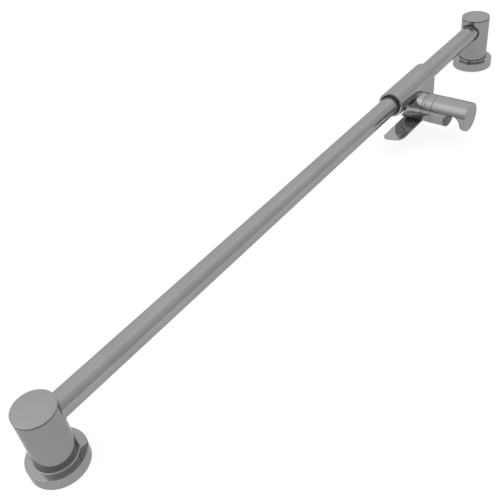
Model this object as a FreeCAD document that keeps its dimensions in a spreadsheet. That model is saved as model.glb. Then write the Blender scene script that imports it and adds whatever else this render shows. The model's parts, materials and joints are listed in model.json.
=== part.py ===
import FreeCAD, Part
import Sketcher
import math
import os
import re

# A wall-mounted shower slide rail, lying on its wall plane.
# X runs along the rail from the lower to the upper pillar, Z stands off the wall,
# and the handset holder is on the -Y side. The origin is on the wall, midway between the pillars.

SIZES = {
    # rail and its place
    "rail_span": 766.0, "rail_height": 52.0, "rail_dia": 22.0, "rail_wall": 1.2, "rail_past_axis": 9.0,
    "plug_length": 14.0, "plug_bevel": 1.0,
    # pillars and caps
    "pillar_dia": 36.3, "pillar_wall": 2.4, "pillar_head": 15.2, "cap_gap": 0.9, "cap_height": 1.5,
    "cap_edge": 0.6, "spigot_depth": 2.0, "ring_inset": 0.9, "seal_wall": 1.0, "seal_sink": 0.6,
    "socket_gap": 3.0, "socket_roof": 2.0, "clamp_dia": 6.0, "clamp_length": 11.0,
    # wall fixing
    "flange_dia": 51.4, "flange_height": 11.2, "flange_edge": 0.9, "flange_fall": 0.4, "flange_lip": 1.2,
    "flange_dip": 0.3, "boss_height": 23.0, "screw_hole_dia": 5.5, "screw_head_dia": 11.5,
    "screw_floor": 6.0, "grub_dia": 5.0, "grub_length": 4.6, "grub_height": 16.5,
    "grub_sink": 0.4, "grub_tip": 0.8,
    # slider casting
    "slider_place": 574.5, "sleeve_dia": 30.3, "sleeve_length": 83.6, "sleeve_edge": 0.5,
    "liner_wall": 1.7, "liner_length": 22.0, "liner_slit": 1.4, "liner_sink": 0.4, "bore_relief": 0.6,
    "axis_drop": 17.3, "block_width": 31.0, "block_drop": 11.0, "block_chin": 6.0, "block_round": 5.0,
    "core_dia": 22.0, "neck_dia": 21.0, "neck_bore": 13.0, "neck_end": 35.0,
    # brake
    "lobe_dia": 6.8, "lobe_offset": 2.9, "lobe_length": 16.4, "tail_dia": 6.0, "tail_length": 5.0,
    "shaft_end": 24.5, "shaft_step": 9.0, "shoe_length": 16.0, "shoe_width": 14.0,
    # release lever
    "hub_dia": 34.1, "lever_end": 26.2, "lever_inner": 1.7, "mitre_start": 7.4, "mitre_slope": 0.756,
    "paddle_reach": 59.2, "paddle_heel": 4.0, "paddle_inner": 2.2, "paddle_width": 27.4, "paddle_thick": 1.4,
    "paddle_sink": 0.4, "paddle_taper": 1.2, "paddle_round": 9.0, "drive_dia": 4.0,
    "drive_place": 20.5, "drive_depth": 2.0,
    # collar, spring and pivot
    "thrust_width": 3.2, "thrust_step": 0.35, "collar_width": 9.0, "collar_bore": 29.2, "hub_edge": 0.4,
    "spring_wire": 1.3, "spring_turns": 2.5, "spring_pitch": 1.45,
    "pivot_start": 27.0, "pivot_flange_dia": 18.0, "pivot_flange": 1.6, "pivot_dia": 12.0,
    # holder
    "holder_length": 42.9, "holder_edge": 0.5, "friction_inner": 19.0, "friction_outer": 27.0,
    "friction_thick": 1.8, "holder_wall": 8.3, "washer_dia": 16.2, "washer_thick": 0.7,
    "head_dia": 15.0, "head_height": 2.8, "shank_dia": 5.0, "shank_length": 8.0,
    "cone_place": 27.1, "cone_drop": 4.7, "cone_low_dia": 21.8, "cone_high_dia": 23.6,
    "socket_wall": 1.1, "socket_inset": 0.5,
    # clearances
    "press_gap": 0.05, "turn_gap": 0.06, "slide_gap": 0.06, "brake_gap": 0.15, "lever_gap": 0.3,
    "face_gap": 0.25,
}

# Places that several pieces share
RAIL_R = "(rail_dia / 2)"
PILLAR_R = "(pillar_dia / 2)"
PILLAR_BORE = "(pillar_dia / 2 - pillar_wall)"
PILLAR_TOP = "(rail_height + pillar_head)"
SOCKET_FLOOR = "(boss_height + socket_gap)"
INSERT_R = "(pillar_dia / 2 - pillar_wall - press_gap)"
RAIL_HOLE = "(rail_dia / 2 + seal_wall)"
SLIDER_X = "(slider_place - rail_span / 2)"
AXIS_Z = "(rail_height - axis_drop)"
LINER_R = "(rail_dia / 2 + slide_gap + liner_wall)"
HUB_R = "(hub_dia / 2)"
BLOCK_SIDE = "(block_width / 2)"
LEVER_START = "(block_width / 2 + lever_gap)"
THRUST_START = "(lever_end + face_gap)"
COLLAR_START = "(lever_end + 2 * face_gap + thrust_width)"
COLLAR_END = "(lever_end + 2 * face_gap + thrust_width + collar_width)"
HOLDER_START = "(lever_end + 3 * face_gap + thrust_width + collar_width)"
HOLDER_FLOOR = "(lever_end + 3 * face_gap + thrust_width + collar_width + holder_wall)"
PIVOT_END = "(lever_end + 3 * face_gap + thrust_width + collar_width + holder_wall + washer_thick + turn_gap)"
SHOE_FLOOR = "(rail_height - axis_drop + lobe_dia / 2 + brake_gap)"

TO_X = FreeCAD.Rotation(FreeCAD.Vector(0, 1, 0), 90)
TO_MINUS_X = FreeCAD.Rotation(FreeCAD.Vector(0, 1, 0), -90)
TO_Y = FreeCAD.Rotation(FreeCAD.Vector(1, 0, 0), -90)
TO_MINUS_Y = FreeCAD.Rotation(FreeCAD.Vector(1, 0, 0), 90)
UPRIGHT = FreeCAD.Rotation()

doc = FreeCAD.newDocument("slide_rail")
sheet = doc.addObject("Spreadsheet::Sheet", "Sizes")
for row, (alias, value) in enumerate(SIZES.items(), start=1):
    sheet.set(f"A{row}", alias)
    sheet.set(f"B{row}", str(value))
    sheet.setAlias(f"B{row}", alias)
doc.recompute()

pieces = []


def formula(text):
    """The sheet's name goes before each of its aliases."""
    return re.sub(r"[a-z][a-z_]*", lambda word: "Sizes." + word.group(), text)


def bind(thing, **values):
    for name, text in values.items():
        thing.setExpression(name, formula(text))
    return thing


def place(thing, at, turn):
    thing.Placement = FreeCAD.Placement(FreeCAD.Vector(), turn)
    for axis, text in zip("xyz", at):
        thing.setExpression("Placement.Base." + axis, formula(text))
    return thing


def piece(thing, label):
    """A finished sub-part: its label names its file."""
    thing.Label = label
    pieces.append(thing)
    return thing


def outline(body, role, points):
    """A closed sketch of straight lines whose corners are bound to the sheet."""
    plane = next(f for f in body.Origin.OriginFeatures if f.Role == role)
    sketch = body.newObject("Sketcher::SketchObject", "outline")
    sketch.AttachmentSupport = [(plane, "")]
    sketch.MapMode = "FlatFace"
    count = len(points)
    start = [FreeCAD.Vector(math.cos(2 * math.pi * i / count), math.sin(2 * math.pi * i / count), 0)
             for i in range(count)]
    for i in range(count):
        sketch.addGeometry(Part.LineSegment(start[i], start[(i + 1) % count]), False)
    for i in range(count):
        sketch.addConstraint(Sketcher.Constraint("Coincident", i, 2, (i + 1) % count, 1))
    for i, (across, up) in enumerate(points):
        for kind, text in (("DistanceX", across), ("DistanceY", up)):
            here = start[i].x if kind == "DistanceX" else start[i].y
            index = sketch.addConstraint(Sketcher.Constraint(kind, -1, 1, i, 1, here))
            sketch.setExpression(f"Constraints[{index}]", formula(text))
    return sketch


def turned(name, points, at, turn):
    """A turned piece: its half profile, radius then place along its axis, spun about that axis."""
    body = doc.addObject("PartDesign::Body", name)
    spin = body.newObject("PartDesign::Revolution", "spin")
    sketch = outline(body, "XZ_Plane", points)
    spin.Profile = sketch
    spin.ReferenceAxis = (sketch, ["V_Axis"])
    spin.Angle = 360
    body.Tip = spin
    return place(body, at, turn)


def plate(name, role, points, depth, at, midplane=False):
    """A flat piece: an outline padded to its depth."""
    body = doc.addObject("PartDesign::Body", name)
    sketch = outline(body, role, points)
    pad = body.newObject("PartDesign::Pad", "pad")
    pad.Profile = sketch
    pad.Midplane = midplane
    bind(pad, Length=depth)
    return place(body, at, UPRIGHT)


def rod(name, radius, length, at, turn):
    rod_solid = bind(doc.addObject("Part::Cylinder", name), Radius=radius, Height=length)
    return place(rod_solid, at, turn)


def brick(name, length, width, height, at):
    solid = bind(doc.addObject("Part::Box", name), Length=length, Width=width, Height=height)
    return place(solid, at, UPRIGHT)


def cut(name, base, *tools):
    for tool in tools:
        result = doc.addObject("Part::Cut", name)
        result.Base, result.Tool, result.Refine = base, tool, True
        base = result
    return base


def join(name, *solids):
    result = doc.addObject("Part::MultiFuse", name)
    result.Shapes, result.Refine = list(solids), True
    return result


def overlap(name, first, second):
    result = doc.addObject("Part::Common", name)
    result.Base, result.Tool = first, second
    return result


def rounded(body, radius, wanted):
    """Round the edges of a flat piece that the test picks, in the piece's own axes."""
    doc.recompute()
    pad = body.Tip
    fillet = body.newObject("PartDesign::Fillet", "fillet")
    fillet.Base = (pad, [f"Edge{i}" for i, edge in enumerate(pad.Shape.Edges, start=1) if wanted(edge)])
    body.Tip = bind(fillet, Radius=radius)
    return body


# Rail

rail_end = "(rail_span / 2 + rail_past_axis)"
tube = turned("tube", [(f"{RAIL_R} - rail_wall", f"-{rail_end}"), (RAIL_R, f"-{rail_end}"),
                       (RAIL_R, rail_end), (f"{RAIL_R} - rail_wall", rail_end)],
              ("0", "0", "rail_height"), TO_X)
piece(tube, "rail_tube")


def bracket(side, sign, inward):
    """The pillar at one end of the rail, with its cap, its wall fixing and what holds the rail end."""
    axis = f"{sign} * rail_span / 2"
    foot = (axis, "0", "0")

    plug_r = f"{RAIL_R} - rail_wall - press_gap"
    plug = turned("plug", [("0", "0"), (f"{plug_r} - plug_bevel", "0"), (plug_r, "plug_bevel"),
                           (plug_r, "plug_length"), ("0", "plug_length")],
                  (f"{sign} * {rail_end}", "0", "rail_height"), inward)
    piece(plug, side + "_rail_plug")

    wall_tube = turned("wall_tube", [(PILLAR_BORE, "0"), (PILLAR_R, "0"), (PILLAR_R, PILLAR_TOP),
                                     (PILLAR_BORE, PILLAR_TOP)], foot, UPRIGHT)
    side_hole = rod("side_hole", RAIL_HOLE, PILLAR_R, (axis, "0", "rail_height"), inward)
    grub_hole = rod("grub_hole", "grub_dia / 2 + press_gap", PILLAR_R, (axis, "0", "grub_height"), TO_Y)
    piece(cut("pillar", wall_tube, side_hole, grub_hole), side + "_pillar")

    roof = f"rail_height + {RAIL_R} + socket_roof"
    block = turned("block", [("0", SOCKET_FLOOR), (INSERT_R, SOCKET_FLOOR), (INSERT_R, roof),
                             ("0", roof)], foot, UPRIGHT)
    seat = rod("seat", f"{RAIL_R} + press_gap", f"{PILLAR_R} + rail_past_axis + press_gap",
               (f"{sign} * ({rail_end} + press_gap)", "0", "rail_height"), inward)
    clamp_hole = rod("clamp_hole", "clamp_dia / 2 + press_gap", f"rail_height - {SOCKET_FLOOR}",
                     (axis, "0", SOCKET_FLOOR), UPRIGHT)
    piece(cut("rail_socket", block, seat, clamp_hole), side + "_rail_socket")

    clamp_top = f"rail_height - {RAIL_R} - press_gap"
    clamp_foot = f"{clamp_top} - clamp_length"
    clamp = turned("clamp", [("0", clamp_foot), ("clamp_dia / 2", clamp_foot),
                             ("clamp_dia / 2", f"{clamp_top} - grub_tip"),
                             ("clamp_dia / 2 - grub_tip", clamp_top), ("0", clamp_top)], foot, UPRIGHT)
    piece(clamp, side + "_clamp_screw")

    collar = rod("collar", f"{RAIL_HOLE} - press_gap", PILLAR_R, (axis, "0", "rail_height"), inward)
    throat = rod("throat", f"{RAIL_R} + press_gap", PILLAR_R, (axis, "0", "rail_height"), inward)
    skin = rod("skin", f"{PILLAR_R} - seal_sink", PILLAR_TOP, foot, UPRIGHT)
    core = rod("core", f"{PILLAR_BORE} + press_gap", PILLAR_TOP, foot, UPRIGHT)
    seal = overlap("seal_blank", cut("seal_tube", collar, throat), skin)
    piece(cut("rail_seal", seal, core), side + "_rail_seal")

    cap_floor = f"({PILLAR_TOP} + cap_gap)"
    cap_top = f"({PILLAR_TOP} + cap_gap + cap_height)"
    cap = turned("cap", [("0", f"{PILLAR_TOP} - spigot_depth"), (INSERT_R, f"{PILLAR_TOP} - spigot_depth"),
                         (INSERT_R, cap_floor), (PILLAR_R, cap_floor), (PILLAR_R, f"{cap_top} - cap_edge"),
                         (f"{PILLAR_R} - cap_edge", cap_top), ("0", cap_top)], foot, UPRIGHT)
    piece(cap, side + "_cap")

    ring_bore, ring_r = f"{INSERT_R} + press_gap", f"{PILLAR_R} - ring_inset"
    ring = turned("ring", [(ring_bore, PILLAR_TOP), (ring_r, PILLAR_TOP), (ring_r, cap_floor),
                           (ring_bore, cap_floor)], foot, UPRIGHT)
    piece(ring, side + "_cap_ring")

    hole = f"{PILLAR_R} + press_gap"
    shoulder = "flange_height - flange_fall"
    flange = turned("flange", [(hole, "0"), ("flange_dia / 2", "0"),
                               ("flange_dia / 2", f"{shoulder} - flange_edge"),
                               ("flange_dia / 2 - flange_edge", shoulder),
                               (f"{hole} + flange_lip", "flange_height"),
                               (hole, "flange_height - flange_dip")], foot, UPRIGHT)
    piece(flange, side + "_wall_flange")

    hub = turned("hub", [("screw_hole_dia / 2", "0"), (INSERT_R, "0"), (INSERT_R, "boss_height"),
                         ("screw_head_dia / 2", "boss_height"), ("screw_head_dia / 2", "screw_floor"),
                         ("screw_hole_dia / 2", "screw_floor")], foot, UPRIGHT)
    grub_outer = f"{PILLAR_R} - grub_sink"
    grub_inner = f"({grub_outer} - grub_length)"
    grub_seat = rod("grub_seat", "grub_dia / 2 + press_gap", PILLAR_R,
                    (axis, f"{grub_inner} - press_gap", "grub_height"), TO_Y)
    piece(cut("wall_boss", hub, grub_seat), side + "_wall_boss")

    grub = turned("grub", [("0", "0"), ("grub_dia / 2 - grub_tip", "0"), ("grub_dia / 2", "grub_tip"),
                           ("grub_dia / 2", "grub_length"), ("0", "grub_length")],
                  (axis, grub_inner, "grub_height"), TO_Y)
    piece(grub, side + "_grub_screw")


bracket("lower", -1, TO_X)
bracket("upper", 1, TO_MINUS_X)


# Slider casting

rail_line = (SLIDER_X, "0", "rail_height")
hub_line = (SLIDER_X, "0", AXIS_Z)
half_sleeve = "(sleeve_length / 2)"
sleeve_r = "(sleeve_dia / 2)"

sleeve = turned("sleeve", [("0", f"-{half_sleeve}"), (f"{sleeve_r} - sleeve_edge", f"-{half_sleeve}"),
                           (sleeve_r, f"-{half_sleeve} + sleeve_edge"),
                           (sleeve_r, f"{half_sleeve} - sleeve_edge"),
                           (f"{sleeve_r} - sleeve_edge", half_sleeve), ("0", half_sleeve)], rail_line, TO_X)
gusset = plate("gusset", "XZ_Plane", [("0", "axis_drop"), (half_sleeve, "axis_drop"),
                                      (half_sleeve, "-block_chin"),
                                      (f"{half_sleeve} - block_chin", "-block_drop"), ("0", "-block_drop")],
               "block_width", hub_line, midplane=True)
rounded(gusset, "block_round", lambda edge: abs(edge.Curve.Direction.y) > 0.99
        and edge.CenterOfMass.z < -1 and edge.CenterOfMass.x > 1)
core = rod("core", "core_dia / 2", "block_width", (SLIDER_X, BLOCK_SIDE, AXIS_Z), TO_MINUS_Y)
neck = rod("neck", "neck_dia / 2", "neck_end", hub_line, TO_MINUS_Y)
casting = join("casting", sleeve, gusset, core, neck)

through = rod("through", f"{RAIL_R} + bore_relief", "2 * sleeve_length",
              (f"{SLIDER_X} - sleeve_length", "0", "rail_height"), TO_X)
liner_pocket = f"{LINER_R} + turn_gap"
pocket_low = rod("pocket_low", liner_pocket, "liner_length + liner_sink + face_gap",
                 (f"{SLIDER_X} - {half_sleeve}", "0", "rail_height"), TO_X)
pocket_high = rod("pocket_high", liner_pocket, "liner_length + liner_sink + face_gap",
                  (f"{SLIDER_X} + {half_sleeve}", "0", "rail_height"), TO_MINUS_X)
shaft_bore = rod("shaft_bore", "neck_bore / 2", "neck_end + lobe_length / 2 + face_gap",
                 (SLIDER_X, "lobe_length / 2 + face_gap", AXIS_Z), TO_MINUS_Y)
tail_bore = rod("tail_bore", "tail_dia / 2 + turn_gap", "tail_length + 2 * face_gap",
                (SLIDER_X, "lobe_length / 2", AXIS_Z), TO_Y)
shoe_pocket = brick("shoe_pocket", "shoe_length + 2 * brake_gap", "shoe_width + 2 * brake_gap", "axis_drop",
                    (f"{SLIDER_X} - shoe_length / 2 - brake_gap", "-shoe_width / 2 - brake_gap",
                     f"{SHOE_FLOOR} - 2 * lever_gap"))
screw_slot = brick("screw_slot", "drive_dia + 2 * lever_gap + drive_dia / 2", "drive_dia + 2 * lever_gap",
                   "neck_dia / 2",
                   (f"{SLIDER_X} - drive_dia - lever_gap", "-drive_place - drive_dia / 2 - lever_gap",
                    f"{AXIS_Z} - neck_dia / 2 - face_gap"))
piece(cut("slider", casting, through, pocket_low, pocket_high, shaft_bore, tail_bore, shoe_pocket,
          screw_slot), "slider_body")


def liner(side, sign, inward):
    """A split plastic bush at one end of the sleeve."""
    bush = turned("bush", [(f"{RAIL_R} + slide_gap", "0"), (LINER_R, "0"), (LINER_R, "liner_length"),
                           (f"{RAIL_R} + slide_gap", "liner_length")],
                  (f"{SLIDER_X} + {sign} * ({half_sleeve} - liner_sink)", "0", "rail_height"), inward)
    slit = brick("slit", "sleeve_length", LINER_R, "liner_slit",
                 (f"{SLIDER_X} + ({sign} - 1) * sleeve_length / 2", f"-{LINER_R}",
                  f"rail_height + {RAIL_R} / 2"))
    piece(cut("liner", bush, slit), side + "_liner")


liner("lower", -1, TO_X)
liner("upper", 1, TO_MINUS_X)


# Brake

shoe_block = brick("shoe_block", "shoe_length", "shoe_width", "axis_drop - lobe_dia / 2 - brake_gap",
                   (f"{SLIDER_X} - shoe_length / 2", "-shoe_width / 2", SHOE_FLOOR))
shoe_hollow = rod("shoe_hollow", f"{RAIL_R} + brake_gap", "sleeve_length",
                  (f"{SLIDER_X} - {half_sleeve}", "0", "rail_height"), TO_X)
piece(cut("shoe", shoe_block, shoe_hollow), "brake_shoe")

journal = rod("journal", "neck_bore / 2 - turn_gap", "shaft_end - shaft_step",
              (SLIDER_X, "-shaft_step", AXIS_Z), TO_MINUS_Y)
lobe = rod("lobe", "lobe_dia / 2", "lobe_length / 2 + shaft_step",
           (f"{SLIDER_X} + lobe_offset", "lobe_length / 2", AXIS_Z), TO_MINUS_Y)
tail = rod("tail", "tail_dia / 2", "tail_length + shaft_step",
           (SLIDER_X, "lobe_length / 2 + tail_length", AXIS_Z), TO_MINUS_Y)
drive_bottom = f"({AXIS_Z} - {HUB_R} - paddle_thick + paddle_sink + grub_sink)"
drive_top = f"({AXIS_Z} - neck_bore / 2 + drive_depth)"
drive_hole = rod("drive_hole", "drive_dia / 2 + press_gap", "hub_dia",
                 (SLIDER_X, "-drive_place", f"{drive_top} + press_gap - hub_dia"), UPRIGHT)
piece(cut("shaft", join("shaft_blank", journal, lobe, tail), drive_hole), "camshaft")

drive = rod("drive", "drive_dia / 2", f"{drive_top} - {drive_bottom}",
            (SLIDER_X, "-drive_place", drive_bottom), UPRIGHT)
piece(drive, "drive_screw")


# Release lever: a mitred barrel with a flat paddle under it

barrel = rod("barrel", HUB_R, "lever_end + lever_inner", (SLIDER_X, "lever_inner", AXIS_Z), TO_MINUS_Y)
mitre_low = "(-mitre_start + mitre_slope * hub_dia)"
mitre_high = "(-mitre_start - mitre_slope * hub_dia)"
mitre = plate("mitre", "YZ_Plane", [(mitre_low, "-hub_dia"), ("2 * hub_dia", "-hub_dia"),
                                    ("2 * hub_dia", "hub_dia"), (mitre_high, "hub_dia")],
              "2 * hub_dia", hub_line, midplane=True)
core_room = rod("core_room", "core_dia / 2 + lever_gap", "hub_dia + block_width / 2 + lever_gap",
                (SLIDER_X, "hub_dia", AXIS_Z), TO_MINUS_Y)
neck_room = rod("neck_room", "neck_dia / 2 + turn_gap", "2 * lever_end",
                (SLIDER_X, "lever_end", AXIS_Z), TO_MINUS_Y)
block_room = brick("block_room", "hub_dia", "hub_dia", "hub_dia",
                   (f"{SLIDER_X} - lever_gap", f"-{LEVER_START}", f"{AXIS_Z} - block_drop - lever_gap"))
paddle_outer = "(paddle_inner - paddle_width)"
paddle = plate("paddle", "XY_Plane", [("-paddle_reach", f"{paddle_outer} + paddle_taper"),
                                      ("paddle_heel", paddle_outer), ("paddle_heel", "paddle_inner"),
                                      ("-paddle_reach", "paddle_inner - paddle_taper")],
               "paddle_thick", (SLIDER_X, "0", f"{AXIS_Z} - {HUB_R} + paddle_sink - paddle_thick"))
rounded(paddle, "paddle_round", lambda edge: abs(edge.Curve.Direction.z) > 0.99
        and edge.CenterOfMass.x < -10)
shell = cut("shell", barrel, mitre, core_room, neck_room, block_room)
piece(cut("lever", join("lever_blank", shell, paddle), drive_hole), "release_lever")


# Collar, spring and pivot, along the neck

piece(turned("thrust", [("neck_dia / 2 + turn_gap", THRUST_START), (f"{HUB_R} - thrust_step", THRUST_START),
                        (f"{HUB_R} - thrust_step", f"{THRUST_START} + thrust_width"),
                        ("neck_dia / 2 + turn_gap", f"{THRUST_START} + thrust_width")],
             hub_line, TO_MINUS_Y), "thrust_ring")

collar_floor = "(neck_end + press_gap)"
flange_seat = f"({COLLAR_END} - pivot_flange - press_gap)"
piece(turned("collar", [("collar_bore / 2", COLLAR_START), (f"{HUB_R} - hub_edge", COLLAR_START),
                        (HUB_R, f"{COLLAR_START} + hub_edge"), (HUB_R, f"{COLLAR_END} - hub_edge"),
                        (f"{HUB_R} - hub_edge", COLLAR_END), ("pivot_flange_dia / 2 + press_gap", COLLAR_END),
                        ("pivot_flange_dia / 2 + press_gap", flange_seat), ("neck_bore / 2", flange_seat),
                        ("neck_bore / 2", collar_floor), ("collar_bore / 2", collar_floor)],
             hub_line, TO_MINUS_Y), "neck_collar")

spring = doc.addObject("PartDesign::Body", "spring")
wire = spring.newObject("Sketcher::SketchObject", "wire")
wire.AttachmentSupport = [(next(f for f in spring.Origin.OriginFeatures if f.Role == "XZ_Plane"), "")]
wire.MapMode = "FlatFace"
wire.addGeometry(Part.Circle(FreeCAD.Vector(10, 0, 0), FreeCAD.Vector(0, 0, 1), 1), False)
for kind, geometry, text in (("DistanceX", (-1, 1, 0, 3, 10), "neck_dia / 2 + spring_wire / 2 + lever_gap"),
                             ("DistanceY", (-1, 1, 0, 3, 0), "0"), ("Radius", (0, 1), "spring_wire / 2")):
    index = wire.addConstraint(Sketcher.Constraint(kind, *geometry))
    wire.setExpression(f"Constraints[{index}]", formula(text))
coil = spring.newObject("PartDesign::AdditiveHelix", "coil")
coil.Profile = wire
coil.ReferenceAxis = (wire, ["V_Axis"])
coil.Mode = 1
coil.Growth = 0
bind(coil, Pitch="spring_pitch", Turns="spring_turns")
place(spring, (SLIDER_X, f"-{COLLAR_START} - spring_wire / 2 - press_gap", AXIS_Z), TO_MINUS_Y)
piece(spring, "lever_spring")

stem = "(neck_bore / 2 - press_gap)"
pivot_root = f"({COLLAR_END} - press_gap)"
piece(turned("pivot", [("0", "pivot_start"), (stem, "pivot_start"), (stem, f"{flange_seat} + press_gap"),
                       ("pivot_flange_dia / 2", f"{flange_seat} + press_gap"),
                       ("pivot_flange_dia / 2", pivot_root),
                       ("pivot_dia / 2", pivot_root), ("pivot_dia / 2", PIVOT_END),
                       ("shank_dia / 2 + press_gap", PIVOT_END),
                       ("shank_dia / 2 + press_gap", f"{PIVOT_END} - shank_length - press_gap"),
                       ("0", f"{PIVOT_END} - shank_length - press_gap")],
             hub_line, TO_MINUS_Y), "holder_pivot")

friction_start = f"({COLLAR_END} + press_gap)"
piece(turned("friction", [("friction_inner / 2", friction_start), ("friction_outer / 2", friction_start),
                          ("friction_outer / 2", f"{friction_start} + friction_thick"),
                          ("friction_inner / 2", f"{friction_start} + friction_thick")],
             hub_line, TO_MINUS_Y), "friction_ring")

piece(turned("washer", [("pivot_dia / 2 + press_gap", f"{HOLDER_FLOOR} + turn_gap"),
                        ("washer_dia / 2", f"{HOLDER_FLOOR} + turn_gap"), ("washer_dia / 2", PIVOT_END),
                        ("pivot_dia / 2 + press_gap", PIVOT_END)], hub_line, TO_MINUS_Y), "wave_washer")

piece(turned("screw", [("0", f"{PIVOT_END} - shank_length"), ("shank_dia / 2", f"{PIVOT_END} - shank_length"),
                       ("shank_dia / 2", PIVOT_END), ("head_dia / 2", PIVOT_END),
                       ("head_dia / 2", f"{PIVOT_END} + head_height"), ("0", f"{PIVOT_END} + head_height")],
             hub_line, TO_MINUS_Y), "holder_screw")


# Handset holder with its tapered, open socket

holder_end = f"({HOLDER_START} + holder_length)"
cone_y = f"(-{HOLDER_START} - cone_place)"
cone_z = f"({AXIS_Z} - cone_drop)"
groove_r = "friction_outer / 2 + lever_gap"
groove_floor = f"({friction_start} + friction_thick + turn_gap)"
blank = turned("blank", [("pivot_dia / 2 + turn_gap", groove_floor), (groove_r, groove_floor),
                         (groove_r, HOLDER_START), (f"{HUB_R} - hub_edge", HOLDER_START),
                         (HUB_R, f"{HOLDER_START} + hub_edge"), (HUB_R, f"{holder_end} - holder_edge"),
                         (f"{HUB_R} - holder_edge", holder_end), ("0", holder_end), ("0", HOLDER_FLOOR),
                         ("pivot_dia / 2 + turn_gap", HOLDER_FLOOR)], hub_line, TO_MINUS_Y)
screw_room = rod("screw_room", "washer_dia / 2 + turn_gap", "cone_place - holder_wall",
                 (SLIDER_X, f"-{HOLDER_FLOOR}", AXIS_Z), TO_MINUS_Y)


def socket_form(name, shrink, reach):
    """The room of the tapered socket: a cone along the rail, open towards the wall."""
    low, high = f"(cone_low_dia / 2 - {shrink})", f"(cone_high_dia / 2 - {shrink})"
    cone = bind(doc.addObject("Part::Cone", name + "_cone"), Radius1=low, Radius2=high, Height=f"2 * {reach}")
    place(cone, (f"{SLIDER_X} - {reach}", cone_y, cone_z), TO_X)
    mouth = plate(name + "_mouth", "XY_Plane", [(f"-{reach}", f"-{low}"), (reach, f"-{high}"), (reach, high),
                                                (f"-{reach}", low)],
                  "hub_dia", (SLIDER_X, cone_y, f"{cone_z} - hub_dia"))
    return join(name, cone, mouth)


socket_room = socket_form("socket_room", "0", HUB_R)
piece(cut("holder", blank, screw_room, socket_room), "handset_holder")

lining_blank = socket_form("lining_blank", "press_gap", HUB_R)
lining_room = socket_form("lining_room", "socket_wall", HUB_R)
envelope = rod("envelope", f"{HUB_R} - socket_inset", f"{holder_end}", hub_line, TO_MINUS_Y)
piece(cut("lining", overlap("lining_form", lining_blank, envelope), lining_room), "socket_liner")


# Check and write

doc.recompute()
for thing in doc.Objects:
    if "Invalid" in thing.State or "Error" in thing.State:
        raise RuntimeError(f"{thing.Name} failed: {thing.State}")
for thing in pieces:
    if thing.Shape.isNull() or not thing.Shape.isValid():
        raise RuntimeError(f"{thing.Label} has no valid shape")
    if len(thing.Shape.Solids) != 1:
        raise RuntimeError(f"{thing.Label} has {len(thing.Shape.Solids)} solids")

os.makedirs("parts", exist_ok=True)
for thing in pieces:
    thing.Shape.exportStep(f"parts/{thing.Label}.step")
    print(f"{thing.Label}: {thing.Shape.Volume:.1f} cubic mm")
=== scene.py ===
import json
import math

import bmesh
import bpy
from bpy.props import FloatProperty, FloatVectorProperty, IntProperty, PointerProperty
from mathutils import Euler, Matrix, Vector


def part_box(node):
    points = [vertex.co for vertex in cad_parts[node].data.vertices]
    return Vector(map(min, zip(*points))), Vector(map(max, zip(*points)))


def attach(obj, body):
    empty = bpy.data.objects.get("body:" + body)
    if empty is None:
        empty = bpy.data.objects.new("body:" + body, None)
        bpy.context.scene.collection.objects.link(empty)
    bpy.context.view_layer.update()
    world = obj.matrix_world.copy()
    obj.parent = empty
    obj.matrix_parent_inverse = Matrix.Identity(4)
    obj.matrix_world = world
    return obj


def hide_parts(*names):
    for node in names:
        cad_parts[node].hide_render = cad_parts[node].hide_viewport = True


bl_info = {
    "name": "Shower Slide Rail",
    "version": (1, 0, 0),
    "blender": (4, 5, 0),
    "location": "3D View > Sidebar > Slide Rail",
    "description": "Dresses the slide rail's solids with rounded, finished pieces and sets up their stage",
    "category": "Object",
}

MM = 0.001
ALONG_RAIL = Vector((1, 0, 0))
ALONG_HUB = Vector((0, -1, 0))
OFF_WALL = Vector((0, 0, 1))

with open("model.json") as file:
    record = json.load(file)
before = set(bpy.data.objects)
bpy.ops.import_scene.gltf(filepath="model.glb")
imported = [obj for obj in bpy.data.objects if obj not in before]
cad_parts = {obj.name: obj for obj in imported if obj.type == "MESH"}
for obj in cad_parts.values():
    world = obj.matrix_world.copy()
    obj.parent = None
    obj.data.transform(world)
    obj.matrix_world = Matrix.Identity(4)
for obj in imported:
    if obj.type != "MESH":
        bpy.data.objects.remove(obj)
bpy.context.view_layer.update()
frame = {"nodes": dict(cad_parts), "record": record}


def middle(node):
    """The middle of a solid's box."""
    low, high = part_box(node)
    return (low + high) / 2


def half(node):
    """Half of a solid's extent along each axis, so a turned piece's radius."""
    low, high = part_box(node)
    return (high - low) / 2


RAIL_RADIUS = half("rail_tube").y
RAIL_HEIGHT = middle("rail_tube").z
RAIL_CENTRE = Vector((0, 0, RAIL_HEIGHT))
SLIDER_X = middle("slider_body").x
HUB_RADIUS = half("neck_collar").z
HUB_HEIGHT = middle("neck_collar").z
HUB_CENTRE = Vector((SLIDER_X, 0, HUB_HEIGHT))

# Gaps between pieces that are pressed together and between pieces that turn on each other
PRESS_GAP = 0.05 * MM
TURN_GAP = 0.06 * MM

# Roundings of edges
BROKEN_EDGE = 0.1 * MM
FINE_EDGE = 0.2 * MM
PLAIN_EDGE = 0.25 * MM
SOFT_EDGE = 0.3 * MM

# Joining and cutting: how far a form stays inside its neighbour's face, how far a cutter reaches
# past a face, the side of a cutter that is wider than the slider, and what counts as a sliver
SKIN = 0.02 * MM
PAST_FACE = 5 * MM
WIDE = 0.1
SLIVER = 0.004 * MM
HEX_CUT = 3 * MM
SCREW_STEPS = 48
SHARP_ANGLE = math.radians(32)


# Sizes and colours

def length_property(name, description, millimetres):
    return FloatProperty(name=name, description=description, default=millimetres * MM, unit="LENGTH")


def angle_property(name, description, radians):
    return FloatProperty(name=name, description=description, default=radians, subtype="ANGLE")


def share_property(name, description, default):
    return FloatProperty(name=name, description=description, default=default, min=0, max=1)


def colour_property(name, description, default):
    return FloatVectorProperty(name=name, description=description, subtype="COLOR", size=3,
                               default=default)


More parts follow.
